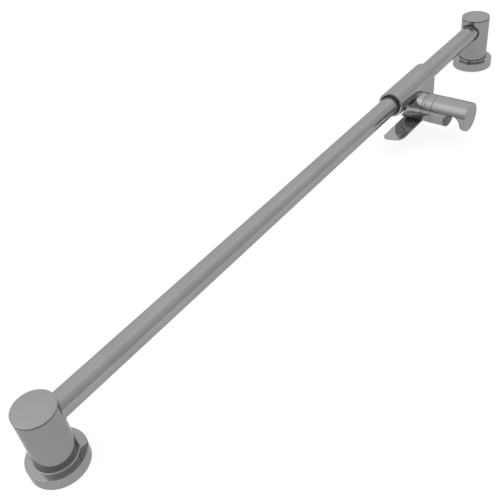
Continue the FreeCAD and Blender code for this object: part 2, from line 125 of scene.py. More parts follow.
class SlideRailSizes(bpy.types.PropertyGroup):
    turned_steps: IntProperty(
        name="Turned Steps", description="Facets around a turned piece", default=160, min=48, max=512)
    rail_wall: length_property("Rail Wall", "Wall of the rail tube", 1.2)
    rail_edge: length_property("Rail Edge", "Rounding of the rail tube's ends", 0.3)
    pillar_wall: length_property("Pillar Wall", "Wall of a pillar", 2.4)
    pillar_edge: length_property("Pillar Edge", "Rounding of a pillar's top edge", 0.35)
    cap_head: length_property("Cap Head", "Height of a cap above its groove", 1.5)
    cap_edge: length_property("Cap Edge", "Width of the bevel round a cap", 0.6)
    cap_crown: length_property("Cap Crown", "Rise of a cap's top towards its middle", 0.3)
    flange_fall: length_property("Flange Fall", "Drop of a flange's top from hole to rim", 0.4)
    flange_cove: length_property(
        "Flange Cove", "Radius of the hollow between a flange and its pillar", 1.2)
    flange_edge: length_property("Flange Edge", "Rounding of a flange's rim", 0.9)
    sleeve_edge: length_property("Sleeve Edge", "Rounding of the sleeve's ends", 0.5)
    sleeve_bore: length_property(
        "Sleeve Bore", "Radius of the slider's bore between its bushes", 11.6)
    liner_pocket: length_property("Bush Pocket", "Radius of the pocket that holds a bush", 12.82)
    liner_depth: length_property("Pocket Depth", "Depth of the pocket that holds a bush", 22.65)
    liner_slit: length_property("Bush Slit", "Width of the slit in a bush", 1.4)
    block_round: length_property(
        "Block Round", "Rounding of the slider block's lower corners, along each side", 2.1)
    block_slant: length_property(
        "Block Slant", "Length of the slant under the slider block", 6.0)
    block_chin: length_property("Block Chin", "Height of the slant under the slider block", 5.0)
    core_radius: length_property("Core Radius", "Radius of the slider's cross core", 11.0)
    neck_radius: length_property("Neck Radius", "Radius of the neck that carries the lever", 10.5)
    shaft_bore: length_property("Shaft Bore", "Radius of the bore in the neck", 6.5)
    running_gap: length_property("Running Gap", "Gap between lever and slider", 0.3)
    mitre_offset: length_property(
        "Mitre Offset", "Place of the barrel's slanted cut, from the rail's axis", 7.4)
    mitre_angle: angle_property("Mitre Angle", "Slant of the barrel's cut", math.atan(0.756))
    shoulder_relief: angle_property(
        "Shoulder Relief", "Turn of the lever that the slider's shoulder leaves room for",
        math.radians(6.8))
    paddle_thick: length_property("Paddle Thickness", "Thickness of the squeeze paddle", 1.4)
    paddle_width: length_property(
        "Paddle Width", "Width of the squeeze paddle at its heel", 27.4)
    paddle_heel: length_property("Paddle Heel", "Reach of the paddle past the hub's axis", 4)
    paddle_round: length_property("Paddle Round", "Rounding of the paddle's tip corners", 9.0)
    paddle_taper: length_property(
        "Paddle Taper", "Narrowing of each paddle side towards the tip", 0.1)
    paddle_tilt: angle_property(
        "Paddle Tilt", "Slant of the paddle across its length", math.radians(-9))
    lever_inner: length_property(
        "Lever Inner End", "Reach of the barrel past the rail's axis", 1.7)
    lever_edge: length_property("Lever Edge", "Rounding of the lever's edges", 0.3)
    collar_edge: length_property("Collar Edge", "Rounding of the collar's edges", 0.4)
    collar_bore: length_property("Collar Bore", "Radius of the collar's room for the spring", 14.6)
    collar_floor: length_property(
        "Collar Floor", "Distance of the collar's floor from the rail's axis", 35.05)
    seat_radius: length_property("Seat Radius", "Radius of the seat for the pivot's flange", 9.05)
    seat_depth: length_property("Seat Depth", "Depth of the seat for the pivot's flange", 1.65)
    holder_edge: length_property("Holder Edge", "Rounding of the holder's edges", 0.5)
    holder_wall: length_property(
        "Holder Wall", "Thickness of the holder behind its screw", 8.3)
    pivot_bore: length_property("Pivot Bore", "Radius of the holder's bore on its pivot", 6.06)
    cone_low: length_property("Socket Low Radius", "Lower radius of the holder's socket", 10.9)
    cone_high: length_property("Socket High Radius", "Upper radius of the holder's socket", 11.8)
    cone_place: length_property(
        "Socket Place", "Distance of the socket from the rail's axis", 66.25)
    cone_drop: length_property("Socket Drop", "Drop of the socket below the holder's axis", 4.7)
    socket_wall: length_property("Socket Wall", "Wall of the socket's liner", 1.1)
    screw_room: length_property(
        "Screw Room", "Radius of the recess for the holder's screw", 8.2)
    hex_radius: length_property("Hex Radius", "Corner radius of the set screws' hexagon", 1.5)


class SlideRailFinish(bpy.types.PropertyGroup):
    chrome: colour_property("Chrome", "Colour of the chrome plate", (0.306, 0.311, 0.318))
    chrome_gloss: share_property("Chrome Roughness", "Roughness of the chrome plate", 0.075)
    chrome_edge: share_property(
        "Chrome Edge", "Tone that the chrome plate keeps at grazing angles", 0.65)
    # A lighter copy of the chrome, painted light: it lifts the shade that falls between the lever and the
    # slider
    lever_chrome_lightened: colour_property(
        "Lever Chrome", "Colour of the chrome plate on the lever", (0.352, 0.357, 0.366))
    # A darker copy of the chrome, painted shade: it darkens the reflections on the pillars
    pillar_chrome_darkened: colour_property(
        "Pillar Chrome", "Colour of the chrome plate on the pillars", (0.269, 0.273, 0.28))
    rubber: colour_property("Rubber", "Colour of the seals and rings", (0.018, 0.018, 0.02))
    dark_plastic: colour_property(
        "Dark Plastic", "Colour of the socket's liner", (0.03, 0.032, 0.033))
    grey_plastic: colour_property(
        "Grey Plastic", "Colour of the inner plastic pieces", (0.3, 0.3, 0.31))
    steel: colour_property("Steel", "Colour of the screws and the spring", (0.42, 0.42, 0.43))
    brass: colour_property("Brass", "Colour of the turned brass", (0.62, 0.47, 0.22))


class SlideRailStage(bpy.types.PropertyGroup):
    camera_place: FloatVectorProperty(
        name="Camera Place", description="Where the camera stands", subtype="TRANSLATION", size=3,
        default=(-0.50444, -0.35940, 0.46920))
    camera_turn: FloatVectorProperty(
        name="Camera Turn", description="The camera's rotation", subtype="EULER", size=3,
        default=(math.radians(49.7015), math.radians(6.7842), math.radians(-52.1751)))
    camera_lens: FloatProperty(
        name="Camera Lens", description="Focal length on a 36 mm sensor, in millimetres",
        default=50.02)
    paper: colour_property("Paper", "Colour of the floor under the rail", (0.985, 1.0, 1.0))
    floor_matt: share_property(
        "Floor Matt", "Share of the paper's colour that the lit floor shows", 0.25)
    floor_glow: share_property(
        "Floor Glow", "What the floor adds to its lit colour to come out white", 0.82)
    sky: colour_property("Sky", "Colour of the studio above the rail", (1.0, 0.993, 0.995))
    sky_level: share_property("Sky Level", "Brightness of the studio at the horizon", 0.77)
    sky_slope: FloatVectorProperty(
        name="Sky Slope", description="How the studio brightens along each axis", subtype="XYZ",
        size=3, default=(0.15, 0.13, 0.25))


# Materials

# The finishes of the record's slots, and two lit and shaded copies of the chrome: a lighter one on the
# lever that paints over the shade between lever and slider, and a darker one on the pillars that paints
# darker reflections into their plate
FINISH_NAMES = {
    "chrome": "polished_chrome",
    "lever_chrome_lightened": "polished_lever_chrome",
    "pillar_chrome_darkened": "polished_pillar_chrome",
    "chrome_rail": "drawn_chrome_tube",
    "steel": "plain_steel",
    "brass_boss": "turned_brass",
    "black_seal": "black_seal_rubber",
    "dark_liner": "dark_moulded_plastic",
    "grey_plastic": "grey_moulded_plastic",
}

# The range that most of a noise lies in, the depth of the finishes' grain, and the colour sockets
# of a Mix node, which share their names with others
NOISE_SPAN = (0.3, 0.7)
GRAIN_DEPTH = 0.00002
MIX_FACTOR, MIX_LOW, MIX_HIGH, MIX_RESULT = 0, 6, 7, 2


def node_material(name):
    material = bpy.data.materials.get(name) or bpy.data.materials.new(name)
    material.use_nodes = True
    material.node_tree.nodes.clear()
    return material, material.node_tree.nodes, material.node_tree.links


def math_of(nodes, links, operation, first, second):
    """A Math node on two sockets, or on a socket and a number."""
    node = nodes.new("ShaderNodeMath")
    node.operation = operation
    for value, socket in zip((first, second), node.inputs):
        if isinstance(value, bpy.types.NodeSocket):
            links.new(value, socket)
        else:
            socket.default_value = value
    return node.outputs["Value"]


def along_of(nodes, links, source, direction):
    """How far a vector reaches along a direction."""
    node = nodes.new("ShaderNodeVectorMath")
    node.operation = "DOT_PRODUCT"
    node.inputs[1].default_value = direction
    links.new(source, node.inputs[0])
    return node.outputs["Value"]


def range_of(nodes, links, source, begin, end, low, high, way="LINEAR"):
    """Turns one range of a value into another."""
    node = nodes.new("ShaderNodeMapRange")
    node.interpolation_type = way
    for name, value in (("From Min", begin), ("From Max", end), ("To Min", low), ("To Max", high)):
        node.inputs[name].default_value = value
    links.new(source, node.inputs["Value"])
    return node.outputs["Result"]


def step_of(nodes, links, source, begin, end, low, high):
    """A soft step of a value between two places."""
    return range_of(nodes, links, source, begin, end, low, high, way="SMOOTHSTEP")


def noise_of(nodes, links, place, scale, detail, stretch=(1, 1, 1)):
    """Noise in the piece's own coordinates, drawn out along an axis by the stretch."""
    mapping = nodes.new("ShaderNodeMapping")
    mapping.inputs["Scale"].default_value = stretch
    links.new(place.outputs["Object"], mapping.inputs["Vector"])
    noise = nodes.new("ShaderNodeTexNoise")
    noise.inputs["Scale"].default_value = scale
    noise.inputs["Detail"].default_value = detail
    links.new(mapping.outputs["Vector"], noise.inputs["Vector"])
    return noise.outputs["Fac"]


def tint_of(nodes, links, noise, colour, low, high):
    """A colour that the noise makes darker and lighter."""
    mix = nodes.new("ShaderNodeMix")
    mix.data_type = "RGBA"
    mix.inputs[MIX_LOW].default_value = (*[channel * low for channel in colour], 1)
    mix.inputs[MIX_HIGH].default_value = (*[min(1, channel * high) for channel in colour], 1)
    links.new(range_of(nodes, links, noise, *NOISE_SPAN, 0, 1), mix.inputs[MIX_FACTOR])
    return mix.outputs[MIX_RESULT]


def make_finish(slot, colour, metal, rough, cloud, grain, spread, relief, stretch=(1, 1, 1), edge=1.0):
    """A finish with soft clouds in its colour and a fine grain in its gloss and relief."""
    material, nodes, links = node_material(FINISH_NAMES[slot])
    place = nodes.new("ShaderNodeTexCoord")
    clouds = noise_of(nodes, links, place, cloud, detail=3)
    grains = noise_of(nodes, links, place, grain, detail=6, stretch=stretch)
    shader = nodes.new("ShaderNodeBsdfPrincipled")
    shader.inputs["Metallic"].default_value = metal
    shader.inputs["Specular Tint"].default_value = (edge, edge, edge, 1)
    links.new(tint_of(nodes, links, clouds, colour, *spread), shader.inputs["Base Color"])
    links.new(range_of(nodes, links, grains, *NOISE_SPAN, *rough), shader.inputs["Roughness"])
    bump = nodes.new("ShaderNodeBump")
    bump.inputs["Strength"].default_value = relief
    bump.inputs["Distance"].default_value = GRAIN_DEPTH
    links.new(grains, bump.inputs["Height"])
    links.new(bump.outputs["Normal"], shader.inputs["Normal"])
    output = nodes.new("ShaderNodeOutputMaterial")
    links.new(shader.outputs["BSDF"], output.inputs["Surface"])
    material.diffuse_color = (*colour, 1)


def finish_of(slot):
    return bpy.data.materials[FINISH_NAMES[slot]]


# Modelling

def sizes():
    return bpy.context.scene.slide_rail_sizes


def outline(corners, segments, closed=True):
    """A wire through (point, rounding) corners, with the corners rounded."""
    bm = bmesh.new()
    points = [bm.verts.new(point) for point, _ in corners]
    for first, second in zip(points, points[1:] + points[:1] if closed else points[1:]):
        bm.edges.new((first, second))
    for width in sorted({rounding for _, rounding in corners if rounding > 0}):
        chosen = [point for point, corner in zip(points, corners) if corner[1] == width]
        bmesh.ops.bevel(bm, geom=chosen, offset=width, offset_type="OFFSET", segments=segments,
                        profile=0.5, affect="VERTICES", material=-1)
    return bm


def stood(bm, origin, along):
    """Move a shape made about Z to its place, with Z along the given direction."""
    turn = OFF_WALL.rotation_difference(along).to_matrix().to_4x4()
    bmesh.ops.transform(bm, matrix=Matrix.Translation(origin) @ turn, verts=bm.verts[:])
    return bm


def turned(corners, origin, along, closed=True):
    """Spin a half profile of (radius, height, rounding) corners about the axis through the origin."""
    bm = outline([((radius, 0, height), rounding) for radius, height, rounding in corners],
                 segments=5, closed=closed)
    bmesh.ops.spin(bm, geom=bm.verts[:] + bm.edges[:], cent=(0, 0, 0), axis=(0, 0, 1), angle=math.tau,
                   steps=sizes().turned_steps, use_merge=True)
    bmesh.ops.remove_doubles(bm, verts=bm.verts[:], dist=1e-7)
    bmesh.ops.recalc_face_normals(bm, faces=bm.faces[:])
    return stood(bm, origin, along)


def plate(corners, rise):
    """Extrude a flat outline of (point, rounding) corners by a vector."""
    bm = outline(corners, segments=16)
    face = bmesh.ops.contextual_create(bm, geom=bm.edges[:])["faces"]
    raised = bmesh.ops.extrude_face_region(bm, geom=face)["geom"]
    bmesh.ops.translate(
        bm, vec=rise, verts=[item for item in raised if isinstance(item, bmesh.types.BMVert)])
    bmesh.ops.recalc_face_normals(bm, faces=bm.faces[:])
    return bm


def rod(radius, length, origin, along, steps=None, far_radius=None):
    """A plain rod or cone from the origin along a direction."""
    bm = bmesh.new()
    bmesh.ops.create_cone(bm, cap_ends=True, segments=steps or sizes().turned_steps, radius1=radius,
                          radius2=radius if far_radius is None else far_radius, depth=length,
                          matrix=Matrix.Translation((0, 0, length / 2)))
    return stood(bm, origin, along)


def hexagon(radius, origin, along):
    """The cutter of a hexagon socket."""
    return rod(radius, HEX_CUT, origin, along, steps=6)


def brick(low, high):
    bm = bmesh.new()
    low, high = Vector(low), Vector(high)
    bmesh.ops.create_cube(bm, size=1, matrix=Matrix.Translation((low + high) / 2)
                          @ Matrix.Diagonal((*(high - low), 1)))
    return bm


def above_mitre(gap=0, turn=0):
    """The room over the barrel's slanted cut, set back by a gap and turned about the hub's axis."""
    size = sizes()
    room = brick((-WIDE, gap, -WIDE), (WIDE, WIDE, WIDE))
    slant = (Matrix.Translation((0, -size.mitre_offset, 0))
             @ Matrix.Rotation(size.mitre_angle, 4, "X"))
    place = Matrix.Translation(HUB_CENTRE) @ Matrix.Rotation(turn, 4, "Y")
    bmesh.ops.transform(room, matrix=place @ slant, verts=room.verts[:])
    return room


def solid(bm, name="form"):
    mesh = bpy.data.meshes.new(name)
    bm.to_mesh(mesh)
    bm.free()
    made = bpy.data.objects.new(name, mesh)
    bpy.context.scene.collection.objects.link(made)
    return made


def combine(base, operation, *shapes):
    """Join shapes to a solid, cut them out of it or keep what they share."""
    for shape in shapes:
        tool = solid(shape) if isinstance(shape, bmesh.types.BMesh) else shape
        step = base.modifiers.new("combine", "BOOLEAN")
        step.operation, step.object, step.solver = operation, tool, "EXACT"
        ready = base.evaluated_get(bpy.context.evaluated_depsgraph_get())
        mesh = bpy.data.meshes.new_from_object(ready)
        if not mesh.polygons:
            raise RuntimeError(f"{base.name} came out empty")
        base.modifiers.remove(step)
        base.data = mesh
        bpy.data.objects.remove(tool)
    return base


def softened(made, width):
    """Clear the slivers that cutting leaves and round the sharp edges."""
    bm = bmesh.new()
    bm.from_mesh(made.data)
    bmesh.ops.remove_doubles(bm, verts=bm.verts[:], dist=SLIVER)
    bmesh.ops.dissolve_degenerate(bm, dist=SLIVER, edges=bm.edges[:])
    bm.to_mesh(made.data)
    bm.free()
    bevel = made.modifiers.new("edges", "BEVEL")
    bevel.width, bevel.segments, bevel.profile = width, 3, 0.5
    bevel.limit_method, bevel.angle_limit = "ANGLE", SHARP_ANGLE
    bevel.use_clamp_overlap = True
    bevel.harden_normals = True
    return made


def finished(made, name, body, slot, node, finish=None):
    """Name a piece, give it its finish and let it stand for its CAD node."""
    made.name = made.data.name = name
    made.data.shade_smooth()
    made.data.materials.clear()
    made.data.materials.append(finish_of(finish or slot))
    weigh = made.modifiers.new("normals", "WEIGHTED_NORMAL")
    weigh.mode, weigh.weight, weigh.keep_sharp = "FACE_AREA", 50, True
    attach(made, body)
    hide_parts(node)


# Pieces

class SLIDERAIL_OT_finishes(bpy.types.Operator):
    """Make the finishes and put them on the solids that stay as they are"""
    bl_idname = "slide_rail.finishes"
    bl_label = "Finishes"

    def execute(self, context):
        tone = context.scene.slide_rail_finish
        gloss = tone.chrome_gloss
        plated = dict(metal=0.8, rough=(gloss * 0.85, gloss * 1.2), cloud=22, grain=900,
                      spread=(0.96, 1.04), relief=0.03, edge=tone.chrome_edge)
        make_finish("chrome", tone.chrome, **plated)
        # The lever's copy of the chrome is lightened to paint over the shade under the slider
        make_finish("lever_chrome_lightened", tone.lever_chrome_lightened, **plated)
        # The pillars' copy of the chrome is darkened to paint darker reflections onto them
        make_finish("pillar_chrome_darkened", tone.pillar_chrome_darkened, **plated)
        make_finish("chrome_rail", tone.chrome, stretch=(0.04, 1, 1), **plated)
        make_finish("steel", tone.steel, metal=1.0, rough=(0.25, 0.42), cloud=120, grain=2400,
                    spread=(0.85, 1.05), relief=0.15, stretch=(1, 0.1, 1))
        make_finish("brass_boss", tone.brass, metal=1.0, rough=(0.22, 0.38), cloud=90, grain=1800,
                    spread=(0.8, 1.05), relief=0.15, stretch=(1, 1, 0.1))
        make_finish("black_seal", tone.rubber, metal=0.0, rough=(0.45, 0.65), cloud=160, grain=3000,
                    spread=(0.7, 1.4), relief=0.3)
        make_finish("dark_liner", tone.dark_plastic, metal=0.0, rough=(0.35, 0.5), cloud=140,
                    grain=4200, spread=(0.75, 1.3), relief=0.25)
        make_finish("grey_plastic", tone.grey_plastic, metal=0.0, rough=(0.4, 0.55), cloud=110,
                    grain=3600, spread=(0.9, 1.06), relief=0.2)
        for part in frame["record"]["subparts"]:
            mesh = frame["nodes"][part["node"]].data
            mesh.materials.clear()
            mesh.materials.append(finish_of(part["material_slot"]))
        return {"FINISHED"}


class SLIDERAIL_OT_rail(bpy.types.Operator):
    """Make the drawn tube that the slider runs on"""
    bl_idname = "slide_rail.rail"
    bl_label = "Rail"

    def execute(self, context):
        size = sizes()
        low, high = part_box("rail_tube")
        bore, edge = RAIL_RADIUS - size.rail_wall, size.rail_edge
        tube = turned([(bore, low.x, edge), (RAIL_RADIUS, low.x, edge), (RAIL_RADIUS, high.x, edge),
                       (bore, high.x, edge)], RAIL_CENTRE, ALONG_RAIL)
        finished(solid(tube), "rail_tube_drawn", "rail", "chrome_rail", "rail_tube")
        return {"FINISHED"}


class SLIDERAIL_OT_brackets(bpy.types.Operator):
    """Make the pillars, caps, cap rings, flanges and set screws at both ends of the rail"""
    bl_idname = "slide_rail.brackets"
    bl_label = "Brackets"

    def execute(self, context):
        for side, inward in (("lower", ALONG_RAIL), ("upper", -ALONG_RAIL)):
            self.pillar(side, inward)
            self.cap(side)
            self.flange(side)
            self.grub(side)
        return {"FINISHED"}

    def foot(self, side):
        return Vector((middle(side + "_pillar").x, 0, 0))

    def pillar(self, side, inward):
        size, foot = sizes(), self.foot(side)
        top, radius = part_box(side + "_pillar")[1].z, half(side + "_pillar").y
        bore = radius - size.pillar_wall
        made = solid(turned([(bore, 0, 0), (radius, 0, 0), (radius, top, size.pillar_edge),
                             (bore, top, 0)], foot, OFF_WALL))
        rail_hole = rod(half(side + "_rail_seal").y + PRESS_GAP, radius + PAST_FACE,
                        foot + RAIL_CENTRE, inward)
        grub = side + "_grub_screw"
        grub_hole = rod(half(grub).z + PRESS_GAP, radius + PAST_FACE,
                        foot + Vector((0, 0, middle(grub).z)), -ALONG_HUB, steps=SCREW_STEPS)
        combine(made, "DIFFERENCE", rail_hole, grub_hole)
        # The pillars take the darkened copy of the chrome, which paints shade into their reflections
        finished(softened(made, FINE_EDGE), side + "_pillar_turned", "rail", "chrome",
                 side + "_pillar", finish="pillar_chrome_darkened")

    def cap(self, side):
        size, foot = sizes(), self.foot(side)
        low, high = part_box(side + "_cap")
        radius = half(side + "_cap").y
        floor, spigot = high.z - size.cap_head, radius - size.pillar_wall - PRESS_GAP
        under_edge = 0.15 * MM
        crown = [(radius * part, high.z - size.cap_crown * part ** 2, 0)
                 for part in (0.9, 0.75, 0.6, 0.45, 0.3, 0.15, 0)]
        cap = turned([(0, low.z, 0), (spigot, low.z, FINE_EDGE), (spigot, floor, 0),
                      (radius, floor, under_edge), (radius, high.z - size.cap_edge, PLAIN_EDGE),
                      (radius - size.cap_edge, high.z - size.cap_crown, SOFT_EDGE), *crown],
                     foot, OFF_WALL, closed=False)
        finished(solid(cap), side + "_cap_turned", "rail", "chrome", side + "_cap")

        low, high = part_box(side + "_cap_ring")
        inner, outer = spigot + PRESS_GAP, half(side + "_cap_ring").y
        ring = turned([(inner, low.z, 0), (outer, low.z, PLAIN_EDGE), (outer, high.z, PLAIN_EDGE),
                       (inner, high.z, 0)], foot, OFF_WALL)
        finished(solid(ring), side + "_cap_ring_moulded", "rail", "black_seal", side + "_cap_ring")

    def flange(self, side):
        size = sizes()
        top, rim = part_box(side + "_wall_flange")[1].z, half(side + "_wall_flange").y
        hole = half(side + "_pillar").y
        cove, lip, land = size.flange_cove, 0.03 * MM, 0.3 * MM
        made = turned([(hole, 0, 0), (rim, 0, FINE_EDGE),
                       (rim, top - size.flange_fall, size.flange_edge),
                       (hole + cove + land, top, BROKEN_EDGE), (hole + lip, top, cove),
                       (hole + lip, top + cove + lip, 0), (hole, top + cove + lip, 0)],
                      self.foot(side), OFF_WALL)
        finished(solid(made), side + "_wall_flange_turned", "rail", "chrome", side + "_wall_flange")

    def grub(self, side):
        node = side + "_grub_screw"
        low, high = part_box(node)
        radius, length = half(node).z, high.y - low.y
        tip, hex_depth = 0.8 * MM, 2 * MM
        start = Vector((self.foot(side).x, low.y, middle(node).z))
        made = solid(turned([(0, 0, 0), (radius - tip, 0, 0), (radius, tip, 0),
                             (radius, length, SOFT_EDGE), (0, length, 0)],
                            start, -ALONG_HUB, closed=False))
        hex_floor = start + Vector((0, length - hex_depth, 0))
        combine(made, "DIFFERENCE", hexagon(sizes().hex_radius, hex_floor, -ALONG_HUB))
        finished(softened(made, BROKEN_EDGE), node + "_hex", "rail", "steel", node)


class SLIDERAIL_OT_slider(bpy.types.Operator):
    """Make the slider's casting: the sleeve, its block, the cross core and the neck"""
    bl_idname = "slide_rail.slider"
    bl_label = "Slider"

    def execute(self, context):
        sleeve, *others = self.forms()
        made = combine(solid(sleeve), "UNION", *others)
        combine(made, "DIFFERENCE", *self.rooms())
        finished(softened(made, SOFT_EDGE), "slider_casting", "slider", "chrome", "slider_body")
        return {"FINISHED"}

    def forms(self):
        """The sleeve, the block, the core, the neck and the shoulder at the barrel's mitre."""
        size = sizes()
        low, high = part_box("slider_body")
        radius, reach = high.z - RAIL_HEIGHT, (high.x - low.x) / 2
        edge = size.sleeve_edge
        sleeve = turned([(0, -reach, 0), (radius, -reach, edge), (radius, reach, edge), (0, reach, 0)],
                        Vector((SLIDER_X, 0, RAIL_HEIGHT)), ALONG_RAIL, closed=False)
        side, end = radius - 0.003 * MM, high.x - SKIN
        block = plate([((SLIDER_X, side, RAIL_HEIGHT), 0), ((end, side, RAIL_HEIGHT), 0),
                       ((end, side, low.z + size.block_chin), size.block_round),
                       ((high.x - size.block_slant, side, low.z), size.block_round),
                       ((SLIDER_X, side, low.z), 0)], Vector((0, -2 * side, 0)))
        core = rod(size.core_radius, 2 * side, HUB_CENTRE + Vector((0, side, 0)), ALONG_HUB)
        neck = rod(size.neck_radius, -low.y, HUB_CENTRE, ALONG_HUB)
        shoulder_length = 24 * MM
        shoulder = solid(rod(HUB_RADIUS - SKIN, shoulder_length,
                             HUB_CENTRE + Vector((0, size.lever_inner, 0)), ALONG_HUB))
        combine(shoulder, "INTERSECT", above_mitre(size.running_gap),
                above_mitre(size.running_gap, size.shoulder_relief))
        return sleeve, block, core, neck, shoulder

    def rooms(self):
        """The bores for the rail, the bushes and the shaft, and the room for the brake shoe."""
        size = sizes()
        low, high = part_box("slider_body")
        reach = (high.x - low.x) / 2
        centre = Vector((SLIDER_X, 0, RAIL_HEIGHT))
        through = 1.5 * reach
        bore = rod(size.sleeve_bore, 2 * through, centre - Vector((through, 0, 0)), ALONG_RAIL)
        pockets = [rod(size.liner_pocket, size.liner_depth + PAST_FACE,
                       centre - way * (reach + PAST_FACE), way) for way in (ALONG_RAIL, -ALONG_RAIL)]
        shaft_start, shaft_more = 8.45 * MM, 9 * MM
        shaft = rod(size.shaft_bore, -low.y + shaft_more, HUB_CENTRE + Vector((0, shaft_start, 0)),
                    ALONG_HUB)
        shoe_low, shoe_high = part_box("brake_shoe")
        shoe_gap = Vector((0.15, 0.15, 0.6)) * MM
        return bore, *pockets, shaft, brick(shoe_low - shoe_gap, shoe_high + shoe_gap)


class SLIDERAIL_OT_liners(bpy.types.Operator):
    """Make the split bushes at both ends of the sleeve"""
    bl_idname = "slide_rail.liners"
    bl_label = "Bushes"

    def execute(self, context):
        slit, slit_edge = RAIL_HEIGHT + RAIL_RADIUS / 2, 0.12 * MM
        for node in ("lower_liner", "upper_liner"):
            low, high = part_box(node)
            radius, bore = half(node).z, RAIL_RADIUS + TURN_GAP
            made = solid(turned([(bore, low.x, PLAIN_EDGE), (radius, low.x, FINE_EDGE),
                                 (radius, high.x, FINE_EDGE), (bore, high.x, PLAIN_EDGE)],
                                RAIL_CENTRE, ALONG_RAIL))
            combine(made, "DIFFERENCE", brick((low.x - MM, -radius - MM, slit),
                                              (high.x + MM, 0, slit + sizes().liner_slit)))
            finished(softened(made, slit_edge), node + "_moulded", "carriage", "black_seal", node)
        return {"FINISHED"}


class SLIDERAIL_OT_lever(bpy.types.Operator):
    """Make the mitred barrel with its squeeze paddle and the screw under it"""
    bl_idname = "slide_rail.lever"
    bl_label = "Release Lever"

    def execute(self, context):
        low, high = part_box("drive_screw")
        radius, length = half("drive_screw").x, high.z - low.z
        foot = Vector((middle("drive_screw").x, middle("drive_screw").y, low.z))
        hole_length, hole_past = 20 * MM, 4 * MM
        made = combine(self.barrel(), "UNION", self.paddle())
        combine(made, "DIFFERENCE", rod(radius + PRESS_GAP, hole_length, foot - OFF_WALL * hole_past,
                                        OFF_WALL, steps=SCREW_STEPS))
        # The lever takes the lightened copy of the chrome, which paints over its shade
        finished(softened(made, sizes().lever_edge), "release_lever_plated", "lever", "chrome",
                 "release_lever", finish="lever_chrome_lightened")

        hex_share, hex_edge = 0.8, 0.08 * MM
        screw = solid(turned([(0, 0, 0), (radius, 0, PLAIN_EDGE), (radius, length, FINE_EDGE),
                              (0, length, 0)], foot, OFF_WALL, closed=False))
        combine(screw, "DIFFERENCE",
                hexagon(sizes().hex_radius * hex_share, foot - OFF_WALL * MM, OFF_WALL))
        finished(softened(screw, hex_edge), "drive_screw_hex", "lever", "steel", "drive_screw")
        return {"FINISHED"}

    def barrel(self):
        """The barrel, cut along its mitre and cleared for the slider's core, neck and block."""
        size = sizes()
        gap, inner, outer = size.running_gap, size.lever_inner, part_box("release_lever")[0].y
        barrel = rod(HUB_RADIUS, inner - outer, HUB_CENTRE + Vector((0, inner, 0)), ALONG_HUB)
        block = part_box("slider_body")
        block_side = -block[1].y - gap
        core_room = rod(size.core_radius + gap, inner - block_side + MM,
                        HUB_CENTRE + Vector((0, inner + MM, 0)), ALONG_HUB)
        neck_start, neck_length = 20 * MM, 60 * MM
        neck_room = rod(size.neck_radius + TURN_GAP, neck_length,
                        HUB_CENTRE + Vector((0, neck_start, 0)), ALONG_HUB)
        block_room = brick((SLIDER_X - gap, block_side, block[0].z - gap),
                           (SLIDER_X + WIDE / 2, WIDE / 2, WIDE))
        return combine(solid(barrel), "DIFFERENCE", above_mitre(), core_room, neck_room, block_room)

    def paddle(self):
        """The paddle, slanted about the line through its middle."""
        size = sizes()
        low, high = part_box("release_lever")
        heel = SLIDER_X + size.paddle_heel
        near, far = high.y - size.paddle_width, high.y
        paddle = plate([((low.x, near + size.paddle_taper, low.z), size.paddle_round),
                        ((heel, near, low.z), 0), ((heel, far, low.z), 0),
                        ((low.x, far - size.paddle_taper, low.z), size.paddle_round)],
                       Vector((0, 0, size.paddle_thick)))
        hinge = Matrix.Translation((0, (near + far) / 2, low.z + size.paddle_thick / 2))
        tilt = Matrix.Rotation(size.paddle_tilt, 4, "X")
        bmesh.ops.transform(paddle, matrix=hinge @ tilt @ hinge.inverted(), verts=paddle.verts[:])
        return paddle


class SLIDERAIL_OT_collar(bpy.types.Operator):
    """Make the thrust ring and the collar between the lever and the holder"""
    bl_idname = "slide_rail.collar"
    bl_label = "Collar"

    def execute(self, context):
        size = sizes()
        low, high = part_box("thrust_ring")
        bore, radius = size.neck_radius + TURN_GAP, half("thrust_ring").z
        ring = turned([(bore, -high.y, 0), (radius, -high.y, SOFT_EDGE), (radius, -low.y, SOFT_EDGE),
                       (bore, -low.y, 0)], HUB_CENTRE, ALONG_HUB)
        finished(solid(ring), "thrust_ring_turned", "slider", "chrome", "thrust_ring")

        low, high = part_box("neck_collar")
        start, end, seat = -high.y, -low.y, -low.y - size.seat_depth
        collar = turned([(size.collar_bore, start, 0), (HUB_RADIUS, start, size.collar_edge),
                         (HUB_RADIUS, end, size.collar_edge), (size.seat_radius, end, 0),
                         (size.seat_radius, seat, 0), (size.shaft_bore, seat, 0),
                         (size.shaft_bore, size.collar_floor, 0),
                         (size.collar_bore, size.collar_floor, 0)], HUB_CENTRE, ALONG_HUB)
        finished(solid(collar), "neck_collar_turned", "slider", "chrome", "neck_collar")
        return {"FINISHED"}


